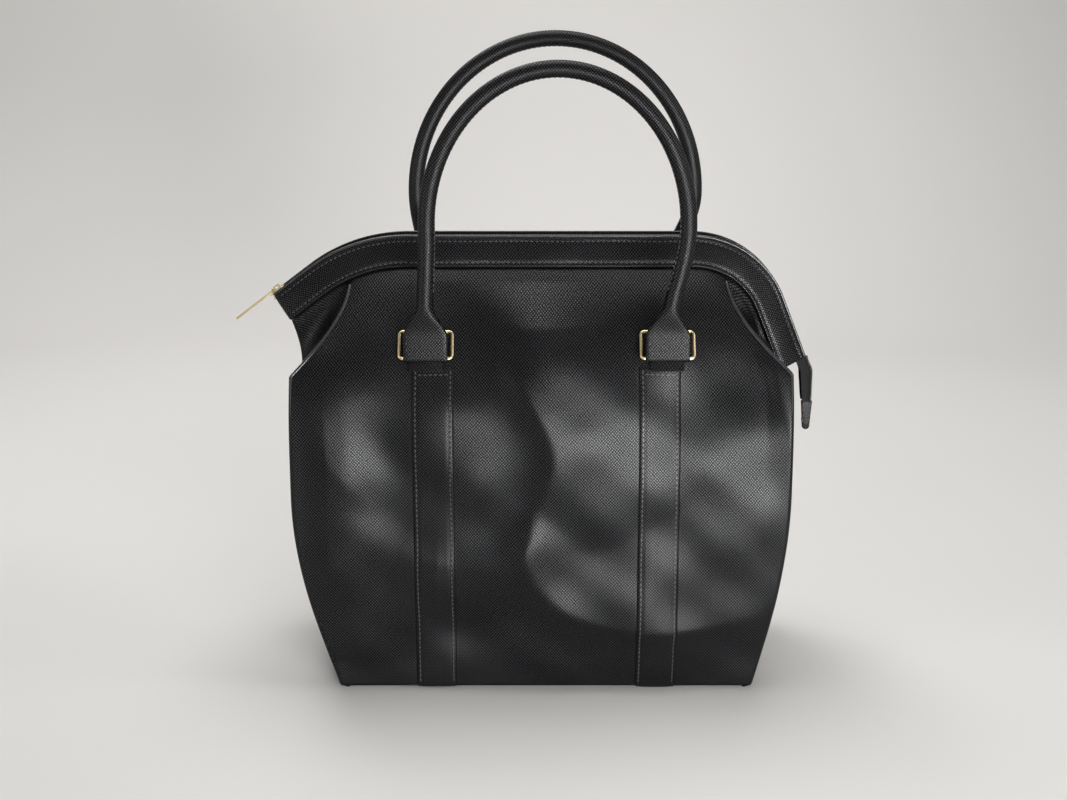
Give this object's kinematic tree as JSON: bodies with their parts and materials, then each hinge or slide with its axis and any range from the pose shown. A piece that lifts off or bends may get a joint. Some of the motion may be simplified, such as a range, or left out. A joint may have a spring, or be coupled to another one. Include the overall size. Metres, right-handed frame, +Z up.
{
  "type": "top handle bag",
  "caption": "Soft-sided top handle bag: flat base, bellows sides, arched zip mouth and rolled handles on metal rings.",
  "frame": {"origin": "centre of the base on the surface the bag stands on", "axes": "+Z up, +X to the right across the front, -Y towards the front"},
  "size_m": [0.4597, 0.1698, 0.509],
  "materials": {
    "coated_leather": "satin",
    "zip_tape": "matte",
    "zip_teeth": "satin",
    "lining_cloth": "matte",
    "board": "matte",
    "core_cord": "matte",
    "gold_plate": "polished"
  },
  "bodies": {
    "bag": {"front_panel": "coated_leather", "rear_panel": "coated_leather", "left_gusset": "coated_leather", "right_gusset": "coated_leather", "base_panel": "coated_leather", "base_board": "board", "front_lining": "lining_cloth", "rear_lining": "lining_cloth", "slip_pocket": "lining_cloth", "front_band": "coated_leather", "rear_band": "coated_leather", "front_zip_tape": "zip_tape", "rear_zip_tape": "zip_tape", "front_zip_teeth": "zip_teeth", "rear_zip_teeth": "zip_teeth", "front_left_strap": "coated_leather", "front_right_strap": "coated_leather", "rear_left_strap": "coated_leather", "rear_right_strap": "coated_leather", "front_left_chape": "coated_leather", "front_right_chape": "coated_leather", "rear_left_chape": "coated_leather", "rear_right_chape": "coated_leather"},
    "front_rings": {"front_left_ring": "gold_plate", "front_right_ring": "gold_plate"},
    "rear_rings": {"rear_left_ring": "gold_plate", "rear_right_ring": "gold_plate"},
    "front_grip": {"front_handle": "coated_leather", "front_handle_core": "core_cord", "front_left_tab": "coated_leather", "front_right_tab": "coated_leather"},
    "rear_grip": {"rear_handle": "coated_leather", "rear_handle_core": "core_cord", "rear_left_tab": "coated_leather", "rear_right_tab": "coated_leather"},
    "slider": {"zip_slider": "gold_plate"},
    "pull": {"zip_pull": "gold_plate"},
    "zip_tail": {"tail_tape": "zip_tape", "tail_teeth": "zip_teeth", "tail_cover": "coated_leather"}
  },
  "joints": [
    {"name": "front_ring_swing", "type": "hinge", "parent": "bag", "child": "front_rings", "pos_m": [0, -0.05891, 0.28845], "axis": [-1, 0, 0], "range_deg": [0, 12]},
    {"name": "front_handle_fold", "type": "hinge", "parent": "front_rings", "child": "front_grip", "pos_m": [0, -0.07089, 0.27], "axis": [1, 0, 0], "range_deg": [-4, 145]},
    {"name": "rear_ring_swing", "type": "hinge", "parent": "bag", "child": "rear_rings", "pos_m": [0, 0.05891, 0.28845], "axis": [1, 0, 0], "range_deg": [0, 12]},
    {"name": "rear_handle_fold", "type": "hinge", "parent": "rear_rings", "child": "rear_grip", "pos_m": [0, 0.07089, 0.27], "axis": [-1, 0, 0], "range_deg": [-4, 145]},
    {"name": "slider_travel", "type": "slide", "parent": "bag", "child": "slider", "axis": [0.7986, 0, 0.6018], "range_m": [0, 0.026], "deforming": ["front_zip_teeth", "rear_zip_teeth"]},
    {"name": "pull_flip", "type": "hinge", "parent": "slider", "child": "pull", "pos_m": [-0.21649, 0, 0.30966], "axis": [0, 1, 0], "range_deg": [0, 170]},
    {"name": "zip_tail_swing", "type": "hinge", "parent": "bag", "child": "zip_tail", "pos_m": [0.2092, 0, 0.25611], "axis": [0, -1, 0], "range_deg": [0, 60]}
  ]
}
